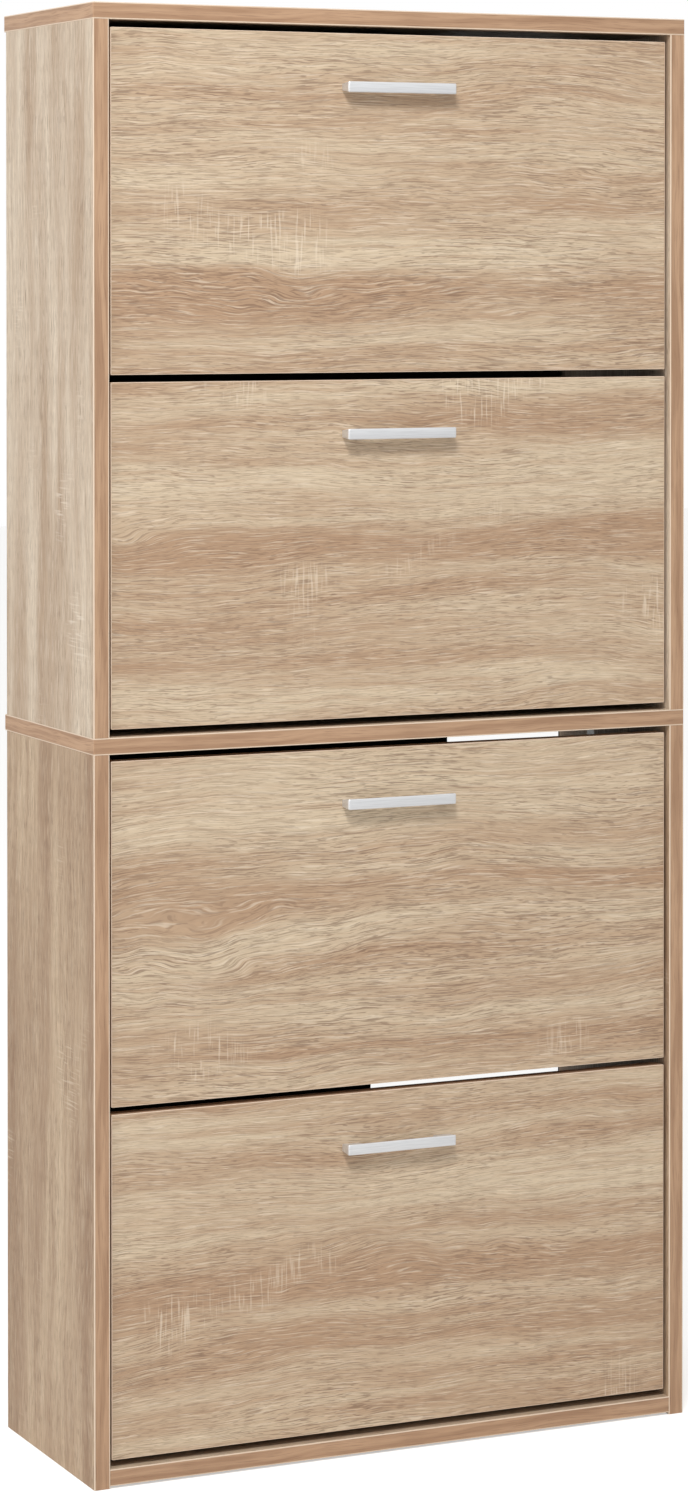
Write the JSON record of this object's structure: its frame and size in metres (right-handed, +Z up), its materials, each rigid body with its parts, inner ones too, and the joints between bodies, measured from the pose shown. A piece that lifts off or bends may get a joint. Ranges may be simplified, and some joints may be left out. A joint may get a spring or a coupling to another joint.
{
  "type": "shoe cabinet",
  "caption": "Tall narrow shoe cabinet in pale oak print with stacked tip-out compartments, slim bar handles and a framed two-unit carcass.",
  "frame": {"origin": "on the floor, under the middle of the cabinet's overall box, handles included", "axes": "+X to the right seen from the front, +Y to the wall, +Z up"},
  "size_m": [0.634, 0.251, 1.4],
  "materials": {
    "oak_board": "pale rough-sawn oak print on melamine board",
    "oak_edging": "warm oak print edge band",
    "back_board_dark": "dark thin hardboard",
    "tray_board": "dark thin board",
    "black_plastic": "matt moulded plastic",
    "satin_metal": "satin silver",
    "steel": "zinc-plated steel",
    "zinc": "cast zinc",
    "dowel_wood": "plain beech"
  },
  "bodies": {
    "carcass": {"top_panel": "oak_board", "middle_panel": "oak_board", "bottom_panel": "oak_board", "upper_left_side": "oak_board", "upper_right_side": "oak_board", "lower_left_side": "oak_board", "lower_right_side": "oak_board", "upper_back_panel": "back_board_dark", "lower_back_panel": "back_board_dark", "panel_edging": "oak_edging", "side_edging": "oak_edging", "cam_locks": "zinc", "dowels": "dowel_wood", "pivot_pins": "steel", "stop_pins": "steel", "back_nails": "steel", "wall_brackets": "steel", "wall_bracket_screws": "steel"},
    "flap_1": {"flap_1_front": "oak_board", "flap_1_edging": "oak_edging", "flap_1_handle": "satin_metal", "flap_1_handle_screws": "steel", "flap_1_left_bracket": "black_plastic", "flap_1_right_bracket": "black_plastic", "flap_1_bracket_screws": "steel", "flap_1_tray_floor": "tray_board", "flap_1_divider": "tray_board", "flap_1_back_board": "tray_board"},
    "flap_2": {"flap_2_front": "oak_board", "flap_2_edging": "oak_edging", "flap_2_handle": "satin_metal", "flap_2_handle_screws": "steel", "flap_2_left_bracket": "black_plastic", "flap_2_right_bracket": "black_plastic", "flap_2_bracket_screws": "steel", "flap_2_tray_floor": "tray_board", "flap_2_divider": "tray_board", "flap_2_back_board": "tray_board"},
    "flap_3": {"flap_3_front": "oak_board", "flap_3_edging": "oak_edging", "flap_3_handle": "satin_metal", "flap_3_handle_screws": "steel", "flap_3_left_bracket": "black_plastic", "flap_3_right_bracket": "black_plastic", "flap_3_bracket_screws": "steel", "flap_3_tray_floor": "tray_board", "flap_3_divider": "tray_board", "flap_3_back_board": "tray_board"},
    "flap_4": {"flap_4_front": "oak_board", "flap_4_edging": "oak_edging", "flap_4_handle": "satin_metal", "flap_4_handle_screws": "steel", "flap_4_left_bracket": "black_plastic", "flap_4_right_bracket": "black_plastic", "flap_4_bracket_screws": "steel", "flap_4_tray_floor": "tray_board", "flap_4_divider": "tray_board", "flap_4_back_board": "tray_board"}
  },
  "joints": [
    {"name": "flap_1_tip", "type": "hinge", "parent": "carcass", "child": "flap_1", "pos_m": [0, -0.0865, 1.10002], "axis": [1, 0, 0], "range_deg": [0, 50]},
    {"name": "flap_2_tip", "type": "hinge", "parent": "carcass", "child": "flap_2", "pos_m": [0, -0.0865, 0.76602], "axis": [1, 0, 0], "range_deg": [0, 50]},
    {"name": "flap_3_tip", "type": "hinge", "parent": "carcass", "child": "flap_3", "pos_m": [0, -0.0865, 0.40902], "axis": [1, 0, 0], "range_deg": [0, 50]},
    {"name": "flap_4_tip", "type": "hinge", "parent": "carcass", "child": "flap_4", "pos_m": [0, -0.0865, 0.07502], "axis": [1, 0, 0], "range_deg": [0, 50]}
  ]
}
